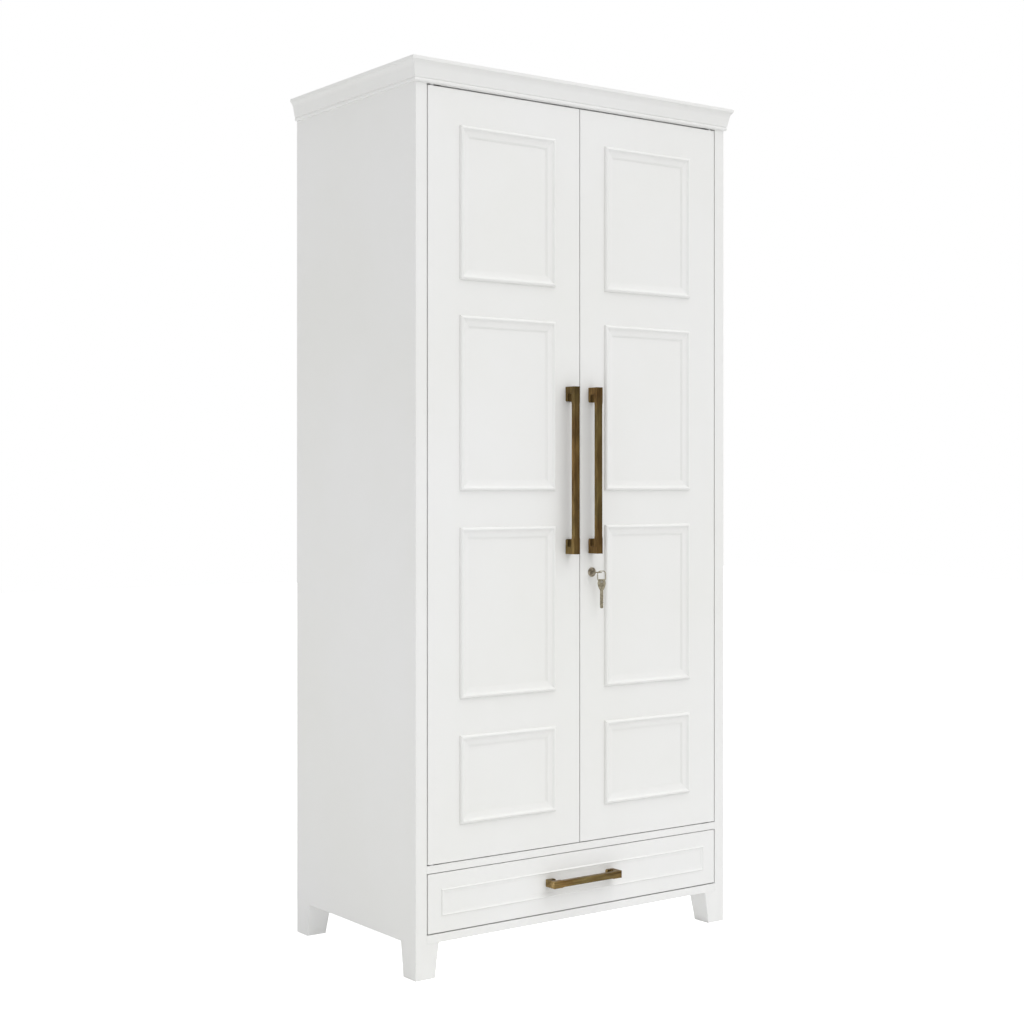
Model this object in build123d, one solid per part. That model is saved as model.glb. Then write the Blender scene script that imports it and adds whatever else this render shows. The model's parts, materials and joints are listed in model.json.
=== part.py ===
from build123d import *
import os

# Free-standing two-door wardrobe with a drawer below the doors.
# Working frame: X from the centre line (+X is the viewer's right), Y from the front plane
# of the frame and doors (+Y is into the carcass), Z from the floor. At the end everything is
# shifted along Y so that the origin is the bottom centre of the whole object's box.

# ---- driving dimensions (mm) ----
WIDTH, DEPTH, HEIGHT = 950.0, 550.0, 2100.0
PANEL = 18.0                      # carcass boards
FRAME_DEPTH = 20.0                # face frame, doors and drawer front
STILE = 30.5                      # visible width of a face-frame stile
FOOT_HEIGHT, FOOT_TOP, FOOT_TOE = 80.0, 64.0, 53.0
BOTTOM_RAIL_TOP = 99.5
MID_RAIL = (240.5, 258.2)
TOP_RAIL_BOTTOM = 2045.0
DOOR_Z = (260.3, 2042.0)
SIDE_GAP, CENTRE_GAP = 2.8, 2.4
DRAWER_Z = (102.3, 238.4)
BACK_Y = (541.0, 547.0)           # thin back panel
PARTITION_FRONT = 22.0

CORNICE_BOTTOM = 2046.5
MOULDING_WIDTH, MOULDING_HEIGHT = 27.0, 7.2
MOULDING_ROWS = [(344.5, 549.0), (634.0, 1030.0), (1115.0, 1521.0), (1604.0, 1960.0)]
MOULDING_HINGE_MARGIN, MOULDING_CENTRE_MARGIN = 87.5, 75.5
DRAWER_MOULDING = (404.5, 139.5, 201.0)      # half width, bottom, top
DRAWER_MOULDING_WIDTH, DRAWER_MOULDING_HEIGHT = 11.0, 2.6

DOOR_PULL_LENGTH, DRAWER_PULL_LENGTH = 404.0, 208.0
DOOR_PULL_X, DOOR_PULL_Z = 35.25, 1163.5
DRAWER_PULL_Z = 174.6
PULL_PROJECTION, PULL_BLOCK_WIDTH = 34.0, 17.5
PULL_BAR_WIDTH, PULL_BAR_DEPTH, PULL_SHOULDER = 15.0, 11.5, 7.0
DOOR_PULL_BLOCK, DRAWER_PULL_BLOCK = 36.0, 24.0
PULL_FLANGE, PULL_FLANGE_CORNER, PULL_SLOT_CORNER = 8.0, 4.0, 4.0
PULL_SLOT_SHARE = 0.53            # open length of a block's slot, as a share of the block
DOOR_PULL_SCREW_INSET, DRAWER_PULL_SCREW_INSET = 10.0, 8.0

PIVOT_IN, PIVOT_BACK = 13.0, 7.0  # pivot axis from the door's edge and from its face
PIVOT_RADIUS, PIVOT_CLEARANCE = 4.0, 0.05
PIVOT_PLATE = (36.0, 11.0, 2.0)
PIVOT_PLATE_OUT = 11.0            # plate's outer end from the pivot axis
PIVOT_PIN, PIVOT_BORE, PIVOT_BUSH = 12.0, 13.0, 14.0  # depths into the door
PIVOT_WALL, PIVOT_SEAT = 1.4, 0.3
PIVOT_SCREWS, PIVOT_SCREW = (13.5, 20.5), 14.0        # distances from the axis, and length

LOCK_X, LOCK_Z = 37.0, 915.5
ROSETTE_RADIUS, BARREL_RADIUS, PLUG_RADIUS = 11.6, 9.5, 7.0
ROSETTE_THICK, ROSETTE_EDGE, PLUG_STAND, PLUG_EDGE = 2.6, 1.4, 3.2, 0.6
BARREL_END, CAM_THICK, CAM_REACH = 31.0, 2.0, 34.0
CAM_WIDTH, CAM_CORNER, CAM_GAP = 14.0, 3.0, 1.4
CAM_SLOT_X, CAM_SLOT_HALF, CAM_SLOT_DOWN, CAM_SLOT_UP = (1.0, 10.0), 3.0, 27.0, 11.0
PLUG_PAST_BARREL, TAIL_HALF, TAIL_LENGTH, KEYWAY_PLAY = 1.0, 3.0, 4.0, 0.15
NUT_RADIUS, NUT_THICK = 14.0, 3.5
KEY_HOLE_OUT = 25.0               # key's ring hole in front of the doors
KEY_BOW_WIDTH, KEY_BOW_TOP, KEY_BOW_LENGTH, KEY_BOW_WIDEST = 20.0, 14.6, 27.0, 10.5
KEY_SHAFT, KEY_THICK, KEY_TIP = 8.0, 2.2, 2.0
KEY_NOTCHES, KEY_NOTCH_STEP, KEY_NOTCH_DEPTH = 4, 5.0, 0.8
KEY_LENGTH_IN_LOCK, SPARE_KEY_LENGTH = 34.0, 44.0     # shaft lengths
KEY_HOLE_RADIUS, KEY_HOLE_FROM_END = 3.3, 5.6
SPARE_HOLE = (6.4, 3.6)           # slotted hole, length and width
SPARE_KEY_TURN = -45.0
RING_SIZE, RING_WIRE, RING_CORNER = 25.0, 2.2, 8.0
RING_SIDE, RING_TOP = -1.6, 3.1   # ring's left and top wires from the lock's axis
RING_PLAY = 0.3                   # between the ring's wire and the spare key

DOWEL_RADIUS, DOWEL_INTO_BOARD, DOWEL_INTO_SIDE = 4.0, 24.0, 12.0
DOWEL_Y = (80.0, 280.0, 480.0)
FOOT_DOWEL_DOWN, FOOT_DOWEL_UP = 30.0, 14.0
EASED_EDGE = 0.8                  # rounding of the visible board edges

SHELF_LEVELS, SHELF_THICK, SHELF_FRONT, SHELF_PLAY = (640.0, 1060.0, 1480.0), 16.0, 40.0, 0.6
PIN_Y, PIN_RADIUS, PIN_IN_BOARD, PIN_OUT = (90.0, 480.0), 2.5, 10.0, 9.0
PIN_COLLAR_RADIUS, PIN_COLLAR = 4.0, 1.2

CATCH_Z, CATCH_SCREW_Z = (1900.0, 1946.0), (1908.0, 1938.0)
CATCH_WIDE, CATCH_DEEP, CATCH_EDGE, CATCH_SCREW_BACK = 14.0, 16.0, 1.5, 9.0
STRIKE_Z, STRIKE_WIDE, STRIKE_THICK = (1904.0, 1942.0), 13.0, 1.5

RAIL_Y, RAIL_Z, RAIL_RADIUS, RAIL_WALL = 285.0, 1930.0, 12.5, 1.5
FLANGE_RADIUS, FLANGE_THICK, CUP_RADIUS, CUP_LENGTH = 24.0, 3.0, 15.5, 14.0
FLANGE_SCREW_OUT = 19.5

RUNNER_Y, RUNNER_Z, RUNNER_THICK = (30.0, 480.0), 155.0, 12.7
RUNNER_OUTER = (45.0, 1.4, 10.5)  # height, wall and depth of one channel
RUNNER_MIDDLE = (37.0, 1.2, 8.0)
RUNNER_INNER = (26.0, 1.2, 6.6)
RUNNER_NESTING = 2.2              # back of the middle channel from the back of the outer one
OUTER_SCREW_Y, INNER_SCREW_Y = (70.0, 250.0, 430.0), (60.0, 240.0, 420.0)
PACKER_Z = (125.0, 185.0)

DRAWER_BOARD, DRAWER_BOX_Z, DRAWER_BOX_BACK = 12.0, (112.0, 222.0), 470.0
DRAWER_GROOVE_Z, DRAWER_GROOVE = (120.0, 126.0), 5.0
DRAWER_DOWEL_Z, DRAWER_DOWEL_Y, DRAWER_DOWEL_RADIUS = (138.0, 208.0), (8.0, 44.0), 3.0

HALF = WIDTH / 2
INSIDE = HALF - PANEL             # inner face of a side panel
DOORWAY = HALF - STILE            # inner edge of a stile
DOOR_OUT = DOORWAY - SIDE_GAP
DOOR_IN = CENTRE_GAP / 2
PIVOT_X = DOOR_OUT - PIVOT_IN
RUNNER_X = DOORWAY                # a runner's back is flush with the stile's inner edge

nodes = {}


# ---- helpers ----
def slab(x, y, z):
    """Box from three (low, high) pairs."""
    size = [max(pair) - min(pair) for pair in (x, y, z)]
    centre = [(pair[0] + pair[1]) / 2 for pair in (x, y, z)]
    return Pos(*centre) * Box(*size)


def rod(start, end, radius):
    """Cylinder between two points."""
    plane = Plane(origin=start, z_dir=Vector(*end) - Vector(*start))
    return extrude(plane * Circle(radius), (Vector(*end) - Vector(*start)).length)


def mirror_x(shape):
    return mirror(shape, about=Plane.YZ)


def on_side(shape, side):
    """Shapes are drawn for the right side (+1), and mirrored for the left (-1)."""
    return shape if side > 0 else mirror_x(shape)


def solids_of(*shapes):
    return [solid for shape in shapes for solid in shape.solids()]


def eased(shape, radius=EASED_EDGE):
    """Break every edge of a plain board."""
    return fillet(shape.edges(), radius)


def wood_screw(head, direction, length, radius=1.6, head_radius=3.2):
    """Countersunk screw: head centre on the surface, pointing along direction."""
    plane = Plane(origin=head, z_dir=direction)
    cone_height = head_radius - radius
    cone = plane * Pos(0, 0, cone_height / 2) * Cone(head_radius, radius, cone_height)
    shank = extrude(plane * Circle(radius), length - radius)
    tip = plane * Pos(0, 0, length - radius / 2) * Cone(radius, radius * 0.2, radius)
    return cone + shank + tip


def cut(shape, tools):
    for tool in tools:
        shape -= tool
    return shape


# ---- mouldings: mitred sticks from one profile ----
def frame_profile(width, height):
    """Panel moulding: round bead on the outer edge, hollow face, small step inside."""
    bead_top = (0.20 * width, height)
    bead_end = (0.33 * width, 0.66 * height)
    hollow_end = (0.90 * width, 0.25 * height)
    step = 0.13 * height
    line = [
        Line((0, 0), (0, 0.22 * height)),
        ThreePointArc((0, 0.22 * height), (0.058 * width, 0.78 * height), bead_top),
        Spline([bead_top, bead_end, (0.58 * width, 0.40 * height), hollow_end],
               tangents=[(1, 0), (1, -0.06)]),
        Line(hollow_end, (hollow_end[0], step)),
        Line((hollow_end[0], step), (width, step)),
        Line((width, step), (width, 0)),
        Line((width, 0), (0, 0)),
    ]
    return make_face(line)


def moulding_stick(length, width, height):
    """Stick along X from 0, outer edge on z = 0, growing to +Z, standing out to -Y."""
    profile = Plane(origin=(0, 0, 0), x_dir=(0, 0, 1), z_dir=(1, 0, 0)) * frame_profile(width, height)
    stick = extrude(profile, length)
    reach = width + 1
    for start, turn in ((0, 1), (length, -1)):
        beyond = [(start - turn, -1), (start - turn, reach), (start + turn * reach, reach)]
        wedge = Plane.XZ * make_face(Polyline(beyond + beyond[:1]))
        stick -= extrude(wedge, height + 1, both=True)
    return stick


def moulding_frame(x_low, x_high, z_low, z_high, width, height):
    """Four mitred sticks around a rectangle on the front plane."""
    across, up = x_high - x_low, z_high - z_low
    level = moulding_stick(across, width, height)
    upright = moulding_stick(up, width, height)
    return solids_of(
        Pos(x_low, 0, z_low) * level,
        Pos(x_high, 0, z_high) * Rot(0, 180, 0) * level,
        Pos(x_low, 0, z_high) * Rot(0, 90, 0) * upright,
        Pos(x_high, 0, z_low) * Rot(0, -90, 0) * upright,
    )


# ---- carcass ----
def side_panel(side):
    return on_side(slab((INSIDE, HALF), (FRAME_DEPTH, DEPTH), (FOOT_HEIGHT, HEIGHT)), side)


def stile(side):
    board = slab((DOORWAY, HALF), (0, FRAME_DEPTH), (FOOT_HEIGHT, HEIGHT))
    front = board.edges().filter_by(Axis.Z).group_by(Axis.Y)[0]
    return on_side(fillet(front, EASED_EDGE), side)


def foot(x_side, y_side):
    """Outer faces are flush with the carcass, inner faces taper towards the floor."""
    x_out = HALF
    y_out = 0 if y_side < 0 else DEPTH
    sections = []
    for z, size in ((0, FOOT_TOE), (FOOT_HEIGHT, FOOT_TOP)):
        y_centre = y_out - y_side * size / 2
        sections.append(Pos(x_out - size / 2, y_centre, z) * Rectangle(size, size))
    block = loft(sections, ruled=True)
    uprights = [edge for edge in block.edges() if edge.bounding_box().size.Z > FOOT_HEIGHT / 2]
    return on_side(fillet(uprights, 1.0), x_side)


def foot_dowel(x_side, y_side):
    y_out = 0 if y_side < 0 else DEPTH
    y = y_out - y_side * FOOT_TOP / 2
    x = x_side * (HALF - FOOT_TOP / 2)
    return rod((x, y, FOOT_HEIGHT - FOOT_DOWEL_DOWN), (x, y, FOOT_HEIGHT + FOOT_DOWEL_UP), DOWEL_RADIUS)


def cornice_profile():
    """Section across the cornice: x is the overhang from the carcass face, y is the level."""
    low, top = CORNICE_BOTTOM, HEIGHT
    line = [
        Line((0, low), (4.6, low)),
        ThreePointArc((4.6, low), (6.3, low + 3.9), (4.8, low + 8)),
        Line((4.8, low + 8), (4.8, low + 9)),
        Line((4.8, low + 9), (6.4, low + 9.4)),
        Line((6.4, low + 9.4), (10.4, low + 29)),
        ThreePointArc((10.4, low + 29), (12.6, low + 38), (17.2, top - 9.2)),
        Line((17.2, top - 9.2), (17.2, top - 8.2)),
        Line((17.2, top - 8.2), (19.0, top - 7.6)),
        Line((19.0, top - 7.6), (19.0, top)),
        Line((19.0, top), (0, top)),
        Line((0, top), (0, low)),
    ]
    return make_face(line)


def cornice():
    """Front length with two mitres, and two returns that run to the back edge."""
    profile = cornice_profile()
    reach = 40.0
    length = WIDTH + 2 * reach
    front_end = Plane(origin=(length / 2, 0, 0), x_dir=(0, -1, 0), z_dir=(-1, 0, 0))
    front_stick = extrude(front_end * profile, length)
    back_end = Plane(origin=(HALF, DEPTH, 0), x_dir=(1, 0, 0), z_dir=(0, -1, 0))
    side_stick = extrude(back_end * profile, DEPTH + reach)
    corner = [(HALF, 0), (HALF + reach, -reach), (HALF + 2 * reach, -reach),
              (HALF + 2 * reach, DEPTH + reach), (HALF, DEPTH + reach)]
    beside = extrude(make_face(Polyline(corner + [corner[0]])), HEIGHT + 50)
    return_piece = side_stick & beside
    front_piece = front_stick - beside - mirror_x(beside)
    return front_piece, return_piece


# ---- pivots, catches, shelf pins ----
def pivot_set(side, upper):
    """Fixed plate with its pin, and the plate with a bushed hole on the door."""
    pin_root = TOP_RAIL_BOTTOM if upper else MID_RAIL[1]
    door_edge = DOOR_Z[1] if upper else DOOR_Z[0]
    into_frame = 1 if upper else -1
    length, width, thick = PIVOT_PLATE
    plate_x = (PIVOT_X + PIVOT_PLATE_OUT, PIVOT_X + PIVOT_PLATE_OUT - length)
    plate_y = (PIVOT_BACK - width / 2, PIVOT_BACK + width / 2)
    axis = (PIVOT_X, PIVOT_BACK)
    pin_end = door_edge - into_frame * PIVOT_PIN
    bore_end = door_edge - into_frame * PIVOT_BORE
    bush_end = door_edge - into_frame * PIVOT_BUSH

    fixed = slab(plate_x, plate_y, (pin_root, pin_root + into_frame * thick))
    fixed += rod((*axis, pin_root), (*axis, pin_end), PIVOT_RADIUS)
    collar_end = door_edge + into_frame * PIVOT_SEAT
    fixed += rod((*axis, pin_root), (*axis, collar_end), PIVOT_RADIUS + PIVOT_WALL)

    moving = slab(plate_x, plate_y, (door_edge, door_edge - into_frame * thick))
    moving += rod((*axis, door_edge), (*axis, bush_end), PIVOT_RADIUS + PIVOT_WALL)
    moving -= rod((*axis, door_edge + into_frame), (*axis, bore_end), PIVOT_RADIUS + PIVOT_CLEARANCE)

    fixed_screws, moving_screws = [], []
    for inward in PIVOT_SCREWS:
        x = PIVOT_X - inward
        fixed_screws.append(wood_screw((x, PIVOT_BACK, pin_root), (0, 0, into_frame), PIVOT_SCREW))
        moving_screws.append(wood_screw((x, PIVOT_BACK, door_edge), (0, 0, -into_frame), PIVOT_SCREW))
    fixed = cut(fixed, fixed_screws)
    moving = cut(moving, moving_screws)
    shapes = [[fixed], [moving], fixed_screws, moving_screws]
    return [[on_side(shape, side) for shape in group] for group in shapes]


def pivot_holes(side):
    """Holes in a door's two ends for the bushes."""
    low, high = DOOR_Z
    radius = PIVOT_RADIUS + PIVOT_WALL
    lower_hole = rod((PIVOT_X, PIVOT_BACK, low), (PIVOT_X, PIVOT_BACK, low + PIVOT_BUSH), radius)
    upper_hole = rod((PIVOT_X, PIVOT_BACK, high), (PIVOT_X, PIVOT_BACK, high - PIVOT_BUSH), radius)
    return [on_side(lower_hole, side), on_side(upper_hole, side)]


def shelf_pin(x, direction, y, z):
    """Pin with a shoulder, partly in the board and partly standing out under the shelf."""
    pin = rod((x - direction * PIN_IN_BOARD, y, z), (x + direction * PIN_OUT, y, z), PIN_RADIUS)
    return pin + rod((x, y, z), (x + direction * PIN_COLLAR, y, z), PIN_COLLAR_RADIUS)


def pull(length, block_length, screw_inset):
    """Flat bar between two end blocks, along X, standing out to -Y, all one casting."""
    half, wide, slim = length / 2, PULL_BLOCK_WIDTH / 2, PULL_BAR_WIDTH / 2
    block_in = half - block_length
    corners = [(half, wide), (block_in, wide), (block_in - PULL_SHOULDER, slim)]
    outline = corners + [(-x, z) for x, z in reversed(corners)]
    outline += [(x, -z) for x, z in reversed(outline)]
    bar_face = Plane.XZ * make_face(Polyline(outline + [outline[0]]))
    bar_back = PULL_PROJECTION - PULL_BAR_DEPTH
    casting = Pos(0, -bar_back, 0) * extrude(bar_face, PULL_BAR_DEPTH)
    column_in = block_in + PULL_SLOT_SHARE * block_length
    for end in (1, -1):
        section = [(half, 0), (half, bar_back), (column_in, bar_back),
                   (column_in, PULL_FLANGE), (block_in, PULL_FLANGE), (block_in, 0)]
        face = make_face(Polyline([(end * x, -y) for x, y in section + section[:1]]))
        block = extrude(face, wide, both=True)
        slot_corner = block.edges().filter_by(Axis.Z).sort_by_distance((end * column_in, -PULL_FLANGE, 0))[0]
        block = fillet(slot_corner, PULL_SLOT_CORNER)
        tip = block.edges().filter_by(Axis.Y).sort_by_distance((end * block_in, -PULL_FLANGE / 2, 0))[:2]
        casting += fillet(tip, PULL_FLANGE_CORNER)
    screws = [pull_screw(end * (half - screw_inset)) for end in (1, -1)]
    return cut(casting, screws), screws


def pull_screw(x):
    """Pan-head machine screw from behind the board into the pull's column."""
    shank = rod((x, FRAME_DEPTH, 0), (x, -12, 0), 2.0)
    head = rod((x, FRAME_DEPTH, 0), (x, FRAME_DEPTH + 2.4, 0), 4.0)
    return shank + fillet(head.edges().group_by(Axis.Y)[-1], 1.0)


# ---- lock and keys ----
def key(shaft_length, hole):
    """Flat key: ring hole at the origin, bow above and below it, shaft towards -Z."""
    top = KEY_HOLE_FROM_END
    neck = top - KEY_BOW_LENGTH
    widest = top - KEY_BOW_WIDEST
    half_top, half_bow, half_shaft = KEY_BOW_TOP / 2, KEY_BOW_WIDTH / 2, KEY_SHAFT / 2
    end = neck - shaft_length
    shoulder = (0.3 * half_top + 0.7 * half_bow, (top + widest) / 2)
    waist = (0.68 * half_bow + 0.32 * half_shaft, (widest + neck) / 2)
    right = [
        Line((0, top), (half_top, top)),
        ThreePointArc((half_top, top), shoulder, (half_bow, widest)),
        ThreePointArc((half_bow, widest), waist, (half_shaft, neck)),
        Line((half_shaft, neck), (half_shaft, end + KEY_TIP)),
        Line((half_shaft, end + KEY_TIP), (half_shaft - KEY_TIP, end)),
        Line((half_shaft - KEY_TIP, end), (0, end)),
    ]
    left = [mirror(edge, about=Plane.YZ) for edge in right]
    blank = extrude(Plane.XZ * make_face(right + left), KEY_THICK / 2, both=True)
    blank -= extrude(Plane.XZ * hole, KEY_THICK, both=True)
    for count in range(KEY_NOTCHES):
        z = end + 6 + count * KEY_NOTCH_STEP
        notch = [(half_shaft + 0.1, z - 1.6), (half_shaft - KEY_NOTCH_DEPTH, z), (half_shaft + 0.1, z + 1.6)]
        blank -= extrude(Plane.XZ * make_face(Polyline(notch + [notch[0]])), KEY_THICK, both=True)
    return blank


def key_ring():
    """Rounded square loop of wire, centre at the origin, in the XZ plane."""
    half, corner = RING_SIZE / 2, RING_CORNER
    path = (Plane.XZ * RectangleRounded(2 * half, 2 * half, corner)).edges()
    loop = None
    for edge in path:
        piece = sweep(Plane(origin=edge @ 0, z_dir=edge % 0) * Circle(RING_WIRE / 2), edge)
        loop = piece if loop is None else loop + piece
    return loop


def lock_barrel():
    barrel = rod((LOCK_X, 0, LOCK_Z), (LOCK_X, BARREL_END, LOCK_Z), BARREL_RADIUS)
    rosette = rod((LOCK_X, 0, LOCK_Z), (LOCK_X, -ROSETTE_THICK, LOCK_Z), ROSETTE_RADIUS)
    rosette = fillet(rosette.edges().group_by(Axis.Y)[0], ROSETTE_EDGE)
    bore = rod((LOCK_X, -5, LOCK_Z), (LOCK_X, BARREL_END + 1, LOCK_Z), PLUG_RADIUS + PIVOT_CLEARANCE)
    return barrel + rosette - bore


def square_bar(front, back):
    """Square tail of the plug on the lock's axis."""
    return slab((LOCK_X - TAIL_HALF, LOCK_X + TAIL_HALF), (front, back),
                (LOCK_Z - TAIL_HALF, LOCK_Z + TAIL_HALF))


def lock_plug():
    plug_end = BARREL_END + PLUG_PAST_BARREL
    plug = rod((LOCK_X, -PLUG_STAND, LOCK_Z), (LOCK_X, plug_end, LOCK_Z), PLUG_RADIUS)
    plug = fillet(plug.edges().group_by(Axis.Y)[0], PLUG_EDGE)
    tail = square_bar(plug_end, plug_end + TAIL_LENGTH)
    half_wide, half_high = KEY_SHAFT / 2 + KEYWAY_PLAY, KEY_THICK / 2 + KEYWAY_PLAY
    keyway = slab((LOCK_X - half_wide, LOCK_X + half_wide), (-2 * PLUG_STAND, BARREL_END),
                  (LOCK_Z - half_high, LOCK_Z + half_high))
    return plug + tail - keyway


def lock_cam():
    """Flat cam on the plug's square tail: it points down when unlocked."""
    back = BARREL_END + CAM_GAP + CAM_THICK
    length = CAM_REACH + CAM_WIDTH / 2
    outline = Pos(0, CAM_WIDTH / 2 - length / 2) * RectangleRounded(CAM_WIDTH, length, CAM_CORNER)
    face = Plane(origin=(LOCK_X, back, LOCK_Z), x_dir=(1, 0, 0), z_dir=(0, -1, 0)) * outline
    return extrude(face, CAM_THICK) - square_bar(BARREL_END, back + 1)


# ---- drawer runners: three nested channels each side ----
def channel(outer_x, size):
    """Channel open towards the centre line, its back on outer_x."""
    height, wall, depth = size
    z_low, z_high = RUNNER_Z - height / 2, RUNNER_Z + height / 2
    outer = slab((outer_x - depth, outer_x), RUNNER_Y, (z_low, z_high))
    hollow_y = (RUNNER_Y[0] - 1, RUNNER_Y[1] + 1)
    return outer - slab((outer_x - depth - 1, outer_x - wall), hollow_y, (z_low + wall, z_high - wall))


# ---- the bodies: carcass, doors, lock and keys, drawer ----
def build_carcass():
    dowels, screws = [], []
    for z in (HEIGHT - PANEL / 2, sum(MID_RAIL) / 2, FOOT_HEIGHT + PANEL / 2):
        for y in DOWEL_Y:
            for side in (1, -1):
                inner, outer = side * (INSIDE - DOWEL_INTO_BOARD), side * (INSIDE + DOWEL_INTO_SIDE)
                dowels.append(rod((inner, y, z), (outer, y, z), DOWEL_RADIUS))
    foot_dowels = [foot_dowel(x, y) for x in (-1, 1) for y in (-1, 1)]
    lower = [pivot_set(side, False) for side in (-1, 1)]
    upper = [pivot_set(side, True) for side in (-1, 1)]
    plates = [group[0][0] for group in lower + upper]
    nodes["pivot_pins"] = plates
    screws += [screw for group in lower + upper for screw in group[2]]

    pins = []
    for number, z in enumerate(SHELF_LEVELS, 1):
        for y in PIN_Y:
            pins.append(shelf_pin(INSIDE, -1, y, z - PIN_COLLAR_RADIUS))
            pins.append(shelf_pin(PANEL / 2, 1, y, z - PIN_COLLAR_RADIUS))
        board = slab((PANEL / 2 + SHELF_PLAY, INSIDE - SHELF_PLAY), (SHELF_FRONT, BACK_Y[0] - 1),
                     (z, z + SHELF_THICK))
        nodes[f"shelf_{number}"] = [eased(board, 0.5)]
    nodes["shelf_pins"] = pins

    catches = []
    for side in (-1, 1):
        body = slab((PANEL / 2, PANEL / 2 + CATCH_WIDE),
                    (PARTITION_FRONT, PARTITION_FRONT + CATCH_DEEP), CATCH_Z)
        body = fillet(body.edges().filter_by(Axis.Y), CATCH_EDGE)
        for z in CATCH_SCREW_Z:
            head = (PANEL / 2 + CATCH_WIDE, PARTITION_FRONT + CATCH_SCREW_BACK, z)
            hole = wood_screw(head, (-1, 0, 0), 20)
            body -= hole
            screws.append(on_side(hole, side))
        catches.append(on_side(body, side))
    nodes["magnetic_catches"] = catches

    rail_axis = (RAIL_Y, RAIL_Z)
    rail = rod((-INSIDE, *rail_axis), (-PANEL / 2, *rail_axis), RAIL_RADIUS)
    rail -= rod((-INSIDE - 1, *rail_axis), (-PANEL / 2 + 1, *rail_axis), RAIL_RADIUS - RAIL_WALL)
    nodes["hanging_rail"] = [rail]
    sockets = []
    for x, inward in ((-INSIDE, 1), (-PANEL / 2, -1)):
        flange_x, cup_x = x + inward * FLANGE_THICK, x + inward * CUP_LENGTH
        cup = rod((x, *rail_axis), (flange_x, *rail_axis), FLANGE_RADIUS)
        cup += rod((x, *rail_axis), (cup_x, *rail_axis), CUP_RADIUS)
        cup -= rod((x - inward, *rail_axis), (cup_x + inward, *rail_axis), RAIL_RADIUS)
        for out in (-FLANGE_SCREW_OUT, FLANGE_SCREW_OUT):
            hole = wood_screw((flange_x, RAIL_Y + out, RAIL_Z), (-inward, 0, 0), 16)
            cup -= hole
            screws.append(hole)
        sockets.append(cup)
    nodes["rail_sockets"] = sockets

    packers, outer_members = [], []
    for side in (-1, 1):
        packer = slab((DOORWAY, INSIDE), (PARTITION_FRONT, BACK_Y[0]), PACKER_Z)
        member = channel(RUNNER_X, RUNNER_OUTER)
        for y in OUTER_SCREW_Y:
            hole = wood_screw((RUNNER_X - RUNNER_OUTER[1], y, RUNNER_Z), (1, 0, 0), 18)
            packer -= hole
            member -= hole
            screws.append(on_side(hole, side))
        packers.append(on_side(packer, side))
        outer_members.append(on_side(member, side))
    nodes["runner_packers"] = packers
    nodes["runner_outer_members"] = outer_members
    nodes["carcass_screws"] = screws
    nodes["carcass_dowels"] = dowels + foot_dowels

    fixings = dowels + foot_dowels + screws + pins
    boards = {
        "side_panel_left": side_panel(-1),
        "side_panel_right": side_panel(1),
        "top_panel": slab((-INSIDE, INSIDE), (FRAME_DEPTH, BACK_Y[0]), (HEIGHT - PANEL, HEIGHT)),
        "divider_panel": slab((-INSIDE, INSIDE), (FRAME_DEPTH, BACK_Y[0]), MID_RAIL),
        "bottom_panel": slab((-INSIDE, INSIDE), (FRAME_DEPTH, BACK_Y[0]),
                             (FOOT_HEIGHT, FOOT_HEIGHT + PANEL)),
        "centre_partition": slab((-PANEL / 2, PANEL / 2), (PARTITION_FRONT, BACK_Y[0]),
                                 (MID_RAIL[1], HEIGHT - PANEL)),
        "stile_left": stile(-1),
        "stile_right": stile(1),
        "top_rail": slab((-DOORWAY, DOORWAY), (0, FRAME_DEPTH), (TOP_RAIL_BOTTOM, HEIGHT)),
        "mid_rail": slab((-DOORWAY, DOORWAY), (0, FRAME_DEPTH), MID_RAIL),
        "bottom_rail": slab((-DOORWAY, DOORWAY), (0, FRAME_DEPTH), (FOOT_HEIGHT, BOTTOM_RAIL_TOP)),
        "back_panel": slab((-INSIDE, INSIDE), BACK_Y, (FOOT_HEIGHT, HEIGHT)),
    }
    cam_middle = BARREL_END + CAM_GAP + CAM_THICK / 2
    boards["centre_partition"] -= slab(CAM_SLOT_X, (cam_middle - CAM_SLOT_HALF, cam_middle + CAM_SLOT_HALF),
                                       (LOCK_Z - CAM_SLOT_DOWN, LOCK_Z + CAM_SLOT_UP))
    for rail_name in ("top_rail", "mid_rail"):
        boards[rail_name] = cut(boards[rail_name], plates)
    for name, board in boards.items():
        reach = board.bounding_box()
        near = [tool for tool in fixings if touches(tool.bounding_box(), reach)]
        nodes[name] = [cut(board, near)]

    for x, x_name in ((-1, "left"), (1, "right")):
        for y, y_name in ((-1, "front"), (1, "rear")):
            nodes[f"foot_{y_name}_{x_name}"] = [foot(x, y) - foot_dowel(x, y)]

    front_piece, return_piece = cornice()
    nodes["cornice_front"] = [front_piece]
    nodes["cornice_right"] = [return_piece]
    nodes["cornice_left"] = [mirror_x(return_piece)]
    return lower, upper


def touches(first, second):
    """Whether two bounding boxes meet."""
    for axis in "XYZ":
        if getattr(first.min, axis) > getattr(second.max, axis):
            return False
        if getattr(second.min, axis) > getattr(first.max, axis):
            return False
    return True


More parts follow.
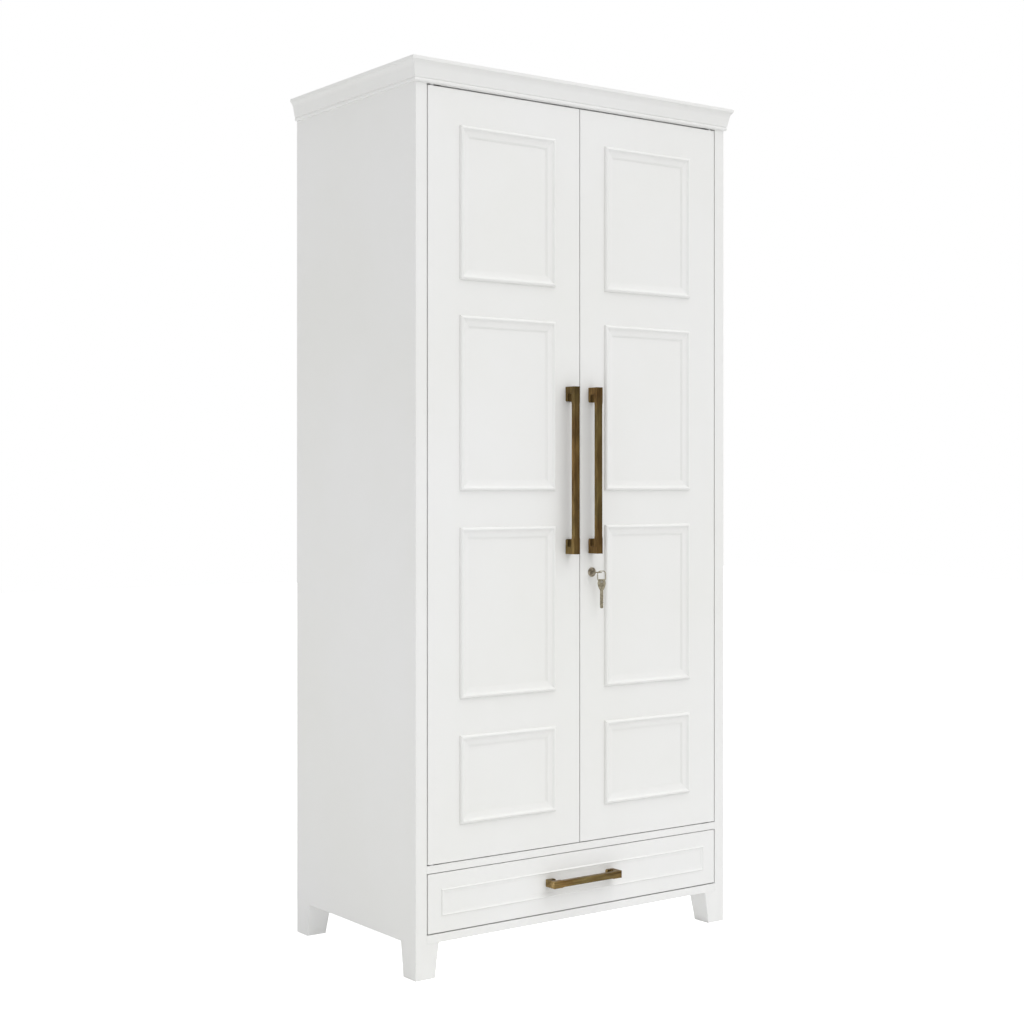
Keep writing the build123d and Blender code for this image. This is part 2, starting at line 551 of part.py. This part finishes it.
def build_door(side, lower, upper):
    name = "left" if side < 0 else "right"
    board = eased(slab((DOOR_IN, DOOR_OUT), (0, FRAME_DEPTH), DOOR_Z))
    board = on_side(board, side)
    bushes = [lower[1][0], upper[1][0]]
    screws = lower[3] + upper[3]

    casting, pull_screws = pull(DOOR_PULL_LENGTH, DOOR_PULL_BLOCK, DOOR_PULL_SCREW_INSET)
    place = Pos(side * DOOR_PULL_X, 0, DOOR_PULL_Z) * Rot(0, 90, 0)
    pull_screws = [place * screw for screw in pull_screws]
    screws = screws + pull_screws
    nodes[f"door_pull_{name}"] = [place * casting]

    strike_back = FRAME_DEPTH + STRIKE_THICK
    strike = slab((PANEL / 2, PANEL / 2 + STRIKE_WIDE), (FRAME_DEPTH, strike_back), STRIKE_Z)
    screw_head = (PANEL / 2 + STRIKE_WIDE / 2, strike_back, sum(STRIKE_Z) / 2)
    strike_screw = wood_screw(screw_head, (0, -1, 0), 14)
    strike -= strike_screw
    strike_screw = on_side(strike_screw, side)
    nodes[f"strike_plate_{name}"] = [on_side(strike, side)]
    screws = screws + [strike_screw]

    board = cut(board, bushes + screws + pivot_holes(side))
    if side > 0:
        board -= rod((LOCK_X, -1, LOCK_Z), (LOCK_X, FRAME_DEPTH + 1, LOCK_Z), BARREL_RADIUS)
    nodes[f"door_slab_{name}"] = [board]
    nodes[f"pivot_bushes_{name}"] = bushes
    nodes[f"door_screws_{name}"] = screws

    x_pair = sorted((side * (DOOR_OUT - MOULDING_HINGE_MARGIN), side * (DOOR_IN + MOULDING_CENTRE_MARGIN)))
    sticks = []
    for z_low, z_high in MOULDING_ROWS:
        sticks += moulding_frame(*x_pair, z_low, z_high, MOULDING_WIDTH, MOULDING_HEIGHT)
    nodes[f"panel_mouldings_{name}"] = sticks


def build_lock():
    nodes["lock_barrel"] = [lock_barrel()]
    door_back = Plane(origin=(LOCK_X, FRAME_DEPTH, LOCK_Z), z_dir=(0, 1, 0))
    nut = extrude(door_back * RegularPolygon(NUT_RADIUS, 6), NUT_THICK)
    nodes["lock_nut"] = [nut - rod((LOCK_X, 0, LOCK_Z), (LOCK_X, BARREL_END, LOCK_Z), BARREL_RADIUS)]
    nodes["lock_plug"] = [lock_plug()]
    nodes["lock_cam"] = [lock_cam()]
    lock_key = key(KEY_LENGTH_IN_LOCK, Circle(KEY_HOLE_RADIUS))
    nodes["lock_key"] = [Pos(LOCK_X, -KEY_HOLE_OUT, LOCK_Z) * Rot(90, 0, 0) * lock_key]

    # The loop passes through the key's hole and round the side of its bow.
    ring_z = LOCK_Z + RING_TOP - RING_SIZE / 2
    ring_x = LOCK_X + RING_SIDE + RING_SIZE / 2
    nodes["key_ring"] = [Pos(ring_x, -KEY_HOLE_OUT, ring_z) * key_ring()]

    # The spare key's hole edge hangs on the loop's lowest wire.
    wire_z = ring_z - RING_SIZE / 2
    hole_z = wire_z - SPARE_HOLE[1] / 2 + RING_WIRE / 2 + RING_PLAY
    spare_key = key(SPARE_KEY_LENGTH, SlotOverall(*SPARE_HOLE))
    nodes["spare_key"] = [Pos(ring_x, -KEY_HOLE_OUT, hole_z) * Rot(0, 0, SPARE_KEY_TURN) * spare_key]


def build_drawer():
    front = eased(slab((-DOOR_OUT, DOOR_OUT), (0, FRAME_DEPTH), DRAWER_Z))
    casting, screws = pull(DRAWER_PULL_LENGTH, DRAWER_PULL_BLOCK, DRAWER_PULL_SCREW_INSET)
    place = Pos(0, 0, DRAWER_PULL_Z)
    screws = [place * screw for screw in screws]
    nodes["drawer_pull"] = [place * casting]

    box_out = RUNNER_X - RUNNER_THICK
    box_in = box_out - DRAWER_BOARD
    box_middle = (box_in + box_out) / 2
    wall_thick, inner_depth = RUNNER_INNER[1:]
    inner_members = []
    for side in (-1, 1):
        wall = slab((box_in, box_out), (FRAME_DEPTH, DRAWER_BOX_BACK), DRAWER_BOX_Z)
        wall -= slab((box_in - 1, box_in + DRAWER_GROOVE),
                     (FRAME_DEPTH - 1, DRAWER_BOX_BACK + 1), DRAWER_GROOVE_Z)
        member = channel(box_out + inner_depth, RUNNER_INNER)
        member = mirror(member, about=Plane(origin=(box_out + inner_depth / 2, 0, 0), z_dir=(1, 0, 0)))
        for y in INNER_SCREW_Y:
            head = (box_out + wall_thick, y, RUNNER_Z)
            hole = wood_screw(head, (-1, 0, 0), 11, radius=1.4, head_radius=2.6)
            wall -= hole
            member -= hole
            screws.append(on_side(hole, side))
        for z in DRAWER_DOWEL_Z:
            dowel_front, dowel_back = DRAWER_DOWEL_Y
            dowel = rod((box_middle, dowel_front, z), (box_middle, dowel_back, z), DRAWER_DOWEL_RADIUS)
            wall -= dowel
            front -= on_side(dowel, side)
            screws.append(on_side(dowel, side))
        nodes["drawer_side_left" if side < 0 else "drawer_side_right"] = [on_side(wall, side)]
        inner_members.append(on_side(member, side))
    nodes["runner_inner_members"] = inner_members

    back_y = (DRAWER_BOX_BACK - DRAWER_BOARD, DRAWER_BOX_BACK)
    back_z = (DRAWER_GROOVE_Z[1], DRAWER_BOX_Z[1])
    nodes["drawer_back"] = [slab((-box_in, box_in), back_y, back_z)]
    bottom_x = (-box_in - DRAWER_GROOVE, box_in + DRAWER_GROOVE)
    nodes["drawer_bottom"] = [slab(bottom_x, (FRAME_DEPTH, DRAWER_BOX_BACK), DRAWER_GROOVE_Z)]

    in_front = [screw for screw in screws if screw.bounding_box().min.Y < FRAME_DEPTH]
    nodes["drawer_front"] = [cut(front, in_front)]
    nodes["drawer_screws"] = screws
    half_width, z_low, z_high = DRAWER_MOULDING
    nodes["drawer_moulding"] = moulding_frame(-half_width, half_width, z_low, z_high,
                                              DRAWER_MOULDING_WIDTH, DRAWER_MOULDING_HEIGHT)

    middle = channel(RUNNER_X - RUNNER_NESTING, RUNNER_MIDDLE)
    nodes["runner_middle_members"] = [on_side(middle, side) for side in (-1, 1)]


lower_pivots, upper_pivots = build_carcass()
for index, door_side in enumerate((-1, 1)):
    build_door(door_side, lower_pivots[index], upper_pivots[index])
build_lock()
build_drawer()

# ---- origin to the bottom centre of the whole, then one STEP for each node ----
os.makedirs("parts", exist_ok=True)
front_limit = min(shape.bounding_box().min.Y for shapes in nodes.values() for shape in shapes)
back_limit = max(shape.bounding_box().max.Y for shapes in nodes.values() for shape in shapes)
shift = Pos(0, -(front_limit + back_limit) / 2, 0)
for name, shapes in nodes.items():
    pieces = [shift * solid for solid in solids_of(*shapes)]
    export_step(pieces[0] if len(pieces) == 1 else Compound(pieces), f"parts/{name}.step")
print("nodes", len(nodes), "y shift", -(front_limit + back_limit) / 2)
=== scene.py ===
import json
import math

import bpy
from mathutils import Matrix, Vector


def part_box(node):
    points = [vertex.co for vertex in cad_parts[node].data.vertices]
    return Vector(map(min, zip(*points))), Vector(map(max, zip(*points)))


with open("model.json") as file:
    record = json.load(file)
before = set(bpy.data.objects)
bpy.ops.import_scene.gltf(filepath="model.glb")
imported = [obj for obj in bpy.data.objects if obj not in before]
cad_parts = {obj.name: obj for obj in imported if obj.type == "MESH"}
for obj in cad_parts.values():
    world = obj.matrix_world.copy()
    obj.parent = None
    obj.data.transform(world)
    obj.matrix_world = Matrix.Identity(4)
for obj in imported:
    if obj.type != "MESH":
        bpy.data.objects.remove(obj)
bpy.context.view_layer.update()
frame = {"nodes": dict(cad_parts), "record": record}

# A white two-door wardrobe in a pale studio. Every visible piece is a CAD node, which gets a
# procedural finish and softened edges here. Lengths are in metres unless a name or comment says mm.

nodes = frame["nodes"]

MM = 0.001
LEFT_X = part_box("side_panel_left")[0].x
FRONT_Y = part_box("stile_left")[0].y
FLOOR_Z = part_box("foot_front_left")[0].z
CORNER = Vector((LEFT_X, FRONT_Y, FLOOR_Z))      # foot of the carcass's left front edge

# ---- finishes ----
WHITE = (0.868, 0.869, 0.861)
INTERIOR_WHITE = (0.80, 0.80, 0.79)
BACK_WHITE = (0.78, 0.78, 0.77)
DRAWER_WHITE = (0.78, 0.775, 0.76)
STEEL, CHROME = (0.56, 0.56, 0.57), (0.72, 0.72, 0.73)
BEECH_DARK, BEECH, BEECH_LIGHT = (0.46, 0.29, 0.15), (0.56, 0.38, 0.21), (0.62, 0.44, 0.26)
PLASTIC_DARK, PLASTIC, PLASTIC_LIGHT = (0.64, 0.64, 0.63), (0.70, 0.70, 0.69), (0.72, 0.72, 0.71)
BRASS = (0.115, 0.074, 0.028)
BRASS_TONES = [(0.30, (0.072, 0.043, 0.013)), (0.50, (0.116, 0.075, 0.024)), (0.70, (0.172, 0.118, 0.041))]
BRASS_HUES = [(0.40, (1.08, 0.97, 0.88)), (0.60, (0.95, 1.02, 1.02))]      # redder, then more olive
BRASS_STREAKS = [(0.30, (0.66, 0.64, 0.60)), (0.70, (1.30, 1.28, 1.22))]
BRASS_PAINTED_SIDE_LIGHT = [(0.45, (1.0, 1.0, 1.0)), (0.85, (1.74, 1.80, 2.05))]       # painted side light: from the front to the sides, the sides painted lighter
LEVEL_BRASS_PAINTED_LIGHT_GAIN = (1.68, 1.78, 2.15)            # painted light: the drawer's pull is painted lighter than the doors' pulls
LOCK_DARK, LOCK_LIGHT = (0.17, 0.145, 0.105), (0.48, 0.42, 0.325)
KEY_DARK, KEY_LIGHT = (0.23, 0.203, 0.14), (0.455, 0.412, 0.30)

EDGE_SEGMENTS = 2
EDGE_ANGLE = math.radians(40)                    # edges sharper than this are softened
WELD_DISTANCE = 0.01 * MM
# Curved nodes whose own smooth normals are better than softened ones.
OWN_NORMALS = ("panel_mouldings", "drawer_moulding", "cornice", "key_ring", "lock_barrel", "hanging_rail")

# ---- studio ----
WORLD_LIGHT = 0.655                              # what the white surroundings cast on the object
FLOOR_TONE, FLOOR_GLOW = 0.85, 0.80              # floor's own white, and the glow only the camera sees
FLOOR_HALF, FLOOR_DROP = 14.0, 0.4 * MM
# Wide, even lights from far away: azimuth, elevation and spread in degrees, then power.
# Azimuth 0 shines straight at the front, and a positive one comes from its right.
SUNS = {"key": (22, 48, 55, 0.985), "overhead": (0, 84, 40, 0.42)}
# Rectangular lamps: size, power, then place and aim from CORNER.
LOW_FILL = ((2.6, 1.0), 4.7, (-2.8, 0.1, 0.6), (0, 0.3, 0.7))
UNDER_FILL = ((0.80, 0.05), 0.72, (0.475, 0.10, 0.045), (0.475, 0.50, 0.045))

CAMERA_PLACE = (-2.1496, -3.3120, 1.1298)        # from CORNER
CAMERA_YAW = math.radians(-36.158)
CAMERA_LENS, CAMERA_SENSOR, CAMERA_SHIFT_Y = 61.05, 36.0, -0.0270     # lens and sensor in mm


class Surface:
    """A Principled material and short ways to add nodes to it."""

    def __init__(self, name, color, roughness, metallic=0.0, **sockets):
        self.material = bpy.data.materials.new(name)
        self.material.use_nodes = True
        self.tree = self.material.node_tree
        self.shader = self.tree.nodes["Principled BSDF"]
        self.shader.inputs["Base Color"].default_value = (*color, 1.0)
        self.shader.inputs["Roughness"].default_value = roughness
        self.shader.inputs["Metallic"].default_value = metallic
        for socket, value in sockets.items():
            self.shader.inputs[socket.replace("_", " ")].default_value = value
        coordinates = self.node("ShaderNodeTexCoord")
        self.place, self.facing = coordinates.outputs["Object"], coordinates.outputs["Normal"]

    def node(self, kind, **values):
        made = self.tree.nodes.new(kind)
        for key, value in values.items():
            setattr(made, key, value)
        return made

    def link(self, source, target):
        self.tree.links.new(source, target)

    def stretched(self, scale):
        mapping = self.node("ShaderNodeMapping")
        mapping.inputs["Scale"].default_value = scale
        self.link(self.place, mapping.inputs["Vector"])
        return mapping.outputs["Vector"]

    def noise(self, scale, detail=3.0, rough=0.5):
        """Noise in the piece's own space; scale is one number, or one for each axis to stretch it."""
        even = isinstance(scale, float)
        made = self.node("ShaderNodeTexNoise")
        made.inputs["Scale"].default_value = scale if even else 1.0
        made.inputs["Detail"].default_value = detail
        made.inputs["Roughness"].default_value = rough
        self.link(self.place if even else self.stretched(scale), made.inputs["Vector"])
        return made.outputs["Fac"]

    def ramp(self, factor, stops):
        made = self.node("ShaderNodeValToRGB")
        elements = made.color_ramp.elements
        while len(elements) < len(stops):
            elements.new(0.5)
        for element, (position, color) in zip(elements, stops):
            element.position = position
            element.color = (*color, 1.0)
        self.link(factor, made.inputs["Fac"])
        return made.outputs["Color"]

    def multiply(self, first, second):
        made = self.node("ShaderNodeMix", data_type="RGBA", blend_type="MULTIPLY")
        factor, first_color, second_color = made.inputs[0], made.inputs[6], made.inputs[7]
        factor.default_value = 1.0
        self.link(first, first_color)
        self.link(second, second_color)
        return made.outputs[2]

    def sideways(self):
        """How far the surface faces sideways, 0 to 1, in the piece's own space."""
        split = self.node("ShaderNodeSeparateXYZ")
        self.link(self.facing, split.inputs["Vector"])
        size = self.node("ShaderNodeMath", operation="ABSOLUTE")
        self.link(split.outputs["X"], size.inputs[0])
        return size.outputs[0]

    def color(self, source):
        self.link(source, self.shader.inputs["Base Color"])

    def roughness(self, factor, low, high):
        """Roughness that goes from low to high over the middle of a noise."""
        made = self.node("ShaderNodeMapRange")
        for socket, value in zip(("From Min", "From Max", "To Min", "To Max"), (0.3, 0.7, low, high)):
            made.inputs[socket].default_value = value
        self.link(factor, made.inputs["Value"])
        self.link(made.outputs["Result"], self.shader.inputs["Roughness"])

    def bump(self, height, strength, distance, after=None):
        made = self.node("ShaderNodeBump")
        made.inputs["Strength"].default_value = strength
        made.inputs["Distance"].default_value = distance
        self.link(height, made.inputs["Height"])
        if after:
            self.link(after, made.inputs["Normal"])
        self.link(made.outputs["Normal"], self.shader.inputs["Normal"])
        return made.outputs["Normal"]


def scaled(color, gain):
    return tuple(channel * gain for channel in color)


def painted(name, base, roughness=0.38):
    """Sprayed satin lacquer: faint cloudiness, orange peel, and a few fine specks."""
    surface = Surface(name, base, roughness, Specular_IOR_Level=0.42)
    shade = scaled(base[:2], 0.975) + scaled(base[2:], 0.958)
    tint = surface.ramp(surface.noise(1.7, detail=4.0, rough=0.55), [(0.35, shade), (0.65, base)])
    grains = surface.noise(420.0, detail=1.0)
    specks = surface.ramp(grains, [(0.70, (1, 1, 1)), (0.82, (0.965, 0.962, 0.95))])
    surface.color(surface.multiply(tint, specks))
    surface.roughness(surface.noise(38.0), roughness - 0.06, roughness + 0.08)
    peel = surface.bump(surface.noise(260.0, detail=2.0, rough=0.6), 0.09, 0.6 * MM)
    surface.bump(surface.noise(9.0, detail=2.0), 0.05, 4.0 * MM, after=peel)
    return surface.material


def melamine(name, base, roughness=0.55):
    """Printed white board: very fine pearl texture."""
    surface = Surface(name, base, roughness, Specular_IOR_Level=0.35)
    pearl = surface.noise(520.0, detail=2.0)
    surface.color(surface.ramp(pearl, [(0.38, scaled(base, 0.95)), (0.60, base)]))
    surface.roughness(surface.noise(60.0), roughness - 0.08, roughness + 0.08)
    surface.bump(surface.noise(900.0, detail=2.0), 0.15, 0.3 * MM)
    return surface.material


def aged_brass(name, along, gain=(1.0, 1.0, 1.0)):
    """Dark patinated brass, brushed along one axis, rubbed brighter in patches, and with its sides painted
    brighter as painted side light.
    """
    surface = Surface(name, BRASS, 0.42, 0.85)
    across, wide = [260.0] * 3, [60.0] * 3
    across["XYZ".index(along)], wide["XYZ".index(along)] = 7.0, 15.0
    lines = surface.noise(across, detail=4.0, rough=0.6)
    patches = surface.noise(wide, detail=4.0, rough=0.58)
    tones = [(at, tuple(lift * channel for lift, channel in zip(gain, tone))) for at, tone in BRASS_TONES]
    drift = surface.ramp(surface.noise(11.0, detail=2.0), BRASS_HUES)
    patina = surface.multiply(surface.ramp(patches, tones), drift)
    brushed = surface.multiply(patina, surface.ramp(lines, BRASS_STREAKS))
    # painted side light: faces turned sideways are made lighter than the front
    surface.color(surface.multiply(brushed, surface.ramp(surface.sideways(), BRASS_PAINTED_SIDE_LIGHT)))
    surface.roughness(patches, 0.52, 0.34)
    fine = surface.bump(lines, 0.20, 0.4 * MM)
    surface.bump(surface.noise(140.0), 0.12, 0.6 * MM, after=fine)
    return surface.material


def worn_plate(name, dark, light, roughness=0.36):
    """Worn nickel or brass plating with dull blotches and fine scratches."""
    surface = Surface(name, light, roughness, 0.95)
    blotches = surface.noise(160.0, detail=5.0, rough=0.6)
    surface.color(surface.ramp(blotches, [(0.34, dark), (0.62, light)]))
    surface.roughness(blotches, roughness + 0.14, roughness - 0.06)
    scratches = surface.noise((900.0, 900.0, 120.0), rough=0.6)
    surface.bump(scratches, 0.12, 0.3 * MM)
    return surface.material


def drawn_metal(name, base, roughness, streak):
    """Plated or polished steel with a drawn grain."""
    surface = Surface(name, base, roughness, 1.0)
    grain = surface.noise(streak)
    surface.color(surface.ramp(grain, [(0.3, scaled(base, 0.85)), (0.7, base)]))
    surface.roughness(grain, roughness + 0.07, roughness - 0.05)
    surface.bump(grain, 0.06, 0.3 * MM)
    return surface.material


def beech():
    """Turned beech of the dowels, its grain along X."""
    surface = Surface("beech", BEECH, 0.55)
    grain = surface.noise((30.0, 300.0, 300.0), detail=4.0, rough=0.6)
    surface.color(surface.ramp(grain, [(0.35, BEECH_DARK), (0.65, BEECH_LIGHT)]))
    surface.bump(grain, 0.2, 0.4 * MM)
    return surface.material


def moulded_plastic():
    """Pale plastic of the catches, finely textured."""
    surface = Surface("catch_plastic", PLASTIC, 0.48)
    surface.color(surface.ramp(surface.noise(300.0), [(0.35, PLASTIC_DARK), (0.65, PLASTIC_LIGHT)]))
    surface.bump(surface.noise(700.0, detail=2.0), 0.2, 0.3 * MM)
    return surface.material


# For each material slot of the record: its finish, and how wide its sharp edges are softened, in mm.
finishes = {
    "white_paint": (painted("white_paint", WHITE), 0.6),
    "white_interior": (melamine("white_interior", INTERIOR_WHITE), 0.4),
    "back_board": (melamine("back_board", BACK_WHITE, 0.6), 0.3),
    "drawer_box": (melamine("drawer_box", DRAWER_WHITE), 0.4),
    "antique_brass": (aged_brass("antique_brass", "Z"), 0.9),
    "aged_lock": (worn_plate("aged_lock", LOCK_DARK, LOCK_LIGHT), 0.4),
    "key_nickel": (worn_plate("key_nickel", KEY_DARK, KEY_LIGHT), 0.35),
    "steel": (drawn_metal("steel", STEEL, 0.34, (300.0, 20.0, 300.0)), 0.15),
    "chrome_rail": (drawn_metal("chrome_rail", CHROME, 0.12, (14.0, 500.0, 500.0)), 0.3),
    "beech": (beech(), 0.3),
    "catch_plastic": (moulded_plastic(), 0.3),
}
# painted light: a lighter copy of the brass for the drawer's pull
lit_level_brass = aged_brass("antique_brass_level_lit", "X", LEVEL_BRASS_PAINTED_LIGHT_GAIN)


def dress_frame():
    """Finish every CAD node, and soften the sharp edges of boards and castings with modifiers."""
    for part in frame["record"]["subparts"]:
        node = nodes[part["node"]]
        finish, edge_width = finishes[part["material_slot"]]
        # the drawer's pull gets the lighter brass copy, which is painted light
        if part["node"] == "drawer_pull":
            finish = lit_level_brass
        for slot in node.material_slots:
            slot.material = finish
        if not node.material_slots:
            node.data.materials.append(finish)
        if not part["node"].startswith(OWN_NORMALS):
            soften_edges(node, edge_width * MM)


def soften_edges(node, width):
    node.modifiers.new("weld", "WELD").merge_threshold = WELD_DISTANCE
    bevel = node.modifiers.new("bevel", "BEVEL")
    bevel.width = width
    bevel.segments = EDGE_SEGMENTS
    bevel.limit_method = "ANGLE"
    bevel.angle_limit = EDGE_ANGLE
    node.modifiers.new("normals", "WEIGHTED_NORMAL").keep_sharp = True


def add_to_scene(name, data):
    made = bpy.data.objects.new(name, data)
    bpy.context.scene.collection.objects.link(made)
    return made


def make_floor():
    """Pale floor that the camera sees as plain white."""
    mesh = bpy.data.meshes.new("studio_floor")
    signs = ((-1, -1), (1, -1), (1, 1), (-1, 1))
    corners = [(x * FLOOR_HALF, y * FLOOR_HALF, FLOOR_Z - FLOOR_DROP) for x, y in signs]
    mesh.from_pydata(corners, [], [(0, 1, 2, 3)])
    floor = add_to_scene("studio_floor", mesh)
    surface = Surface("pale_floor", (FLOOR_TONE,) * 3, 0.9, Specular_IOR_Level=0.0)
    surface.shader.inputs["Emission Color"].default_value = (*(FLOOR_GLOW,) * 3, 1.0)
    path = surface.node("ShaderNodeLightPath")
    surface.link(path.outputs["Is Camera Ray"], surface.shader.inputs["Emission Strength"])
    floor.data.materials.append(surface.material)


def make_world():
    """White surroundings, brighter to the camera than what they cast on the object."""
    world = bpy.data.worlds.new("studio")
    bpy.context.scene.world = world
    world.use_nodes = True
    tree = world.node_tree
    cast, seen = tree.nodes["Background"], tree.nodes.new("ShaderNodeBackground")
    for background, strength in ((cast, WORLD_LIGHT), (seen, 1.0)):
        background.inputs["Color"].default_value = (1.0, 1.0, 1.0, 1.0)
        background.inputs["Strength"].default_value = strength
    choose = tree.nodes.new("ShaderNodeMixShader")
    path = tree.nodes.new("ShaderNodeLightPath")
    tree.links.new(path.outputs["Is Camera Ray"], choose.inputs["Fac"])
    tree.links.new(cast.outputs[0], choose.inputs[1])
    tree.links.new(seen.outputs[0], choose.inputs[2])
    tree.links.new(choose.outputs[0], tree.nodes["World Output"].inputs["Surface"])


def shine_from(lamp, direction):
    """Turn a lamp so that its light comes from that direction."""
    lamp.rotation_euler = direction.to_track_quat("Z", "Y").to_euler()


def sun_lamp(name, azimuth, elevation, spread, power):
    data = bpy.data.lights.new(name, "SUN")
    data.angle = math.radians(spread)
    data.energy = power
    turn, rise = math.radians(azimuth), math.radians(elevation)
    direction = (math.sin(turn) * math.cos(rise), -math.cos(turn) * math.cos(rise), math.sin(rise))
    shine_from(add_to_scene(name, data), Vector(direction))


def panel_lamp(name, size, power, place, aim):
    data = bpy.data.lights.new(name, "AREA")
    data.shape = "RECTANGLE"
    data.size, data.size_y = size
    data.energy = power
    lamp = add_to_scene(name, data)
    lamp.location = CORNER + Vector(place)
    shine_from(lamp, Vector(place) - Vector(aim))
    return lamp


def make_lights():
    """Two wide lights, one low on the left, and one under the carcass for the rear feet."""
    for name, settings in SUNS.items():
        sun_lamp(name, *settings)
    panel_lamp("low_fill", *LOW_FILL)
    panel_lamp("under_fill", *UNDER_FILL).visible_camera = False


def make_camera():
    """Level camera to the left of the front, as in the photograph."""
    data = bpy.data.cameras.new("camera")
    data.lens, data.sensor_width = CAMERA_LENS, CAMERA_SENSOR
    data.shift_y = CAMERA_SHIFT_Y
    camera = add_to_scene("camera", data)
    camera.location = CORNER + Vector(CAMERA_PLACE)
    camera.rotation_euler = (math.radians(90), 0, CAMERA_YAW)
    bpy.context.scene.camera = camera


dress_frame()
make_floor()
make_world()
make_lights()
make_camera()

view = bpy.context.scene.view_settings
view.view_transform = "Standard"
view.look = "None"
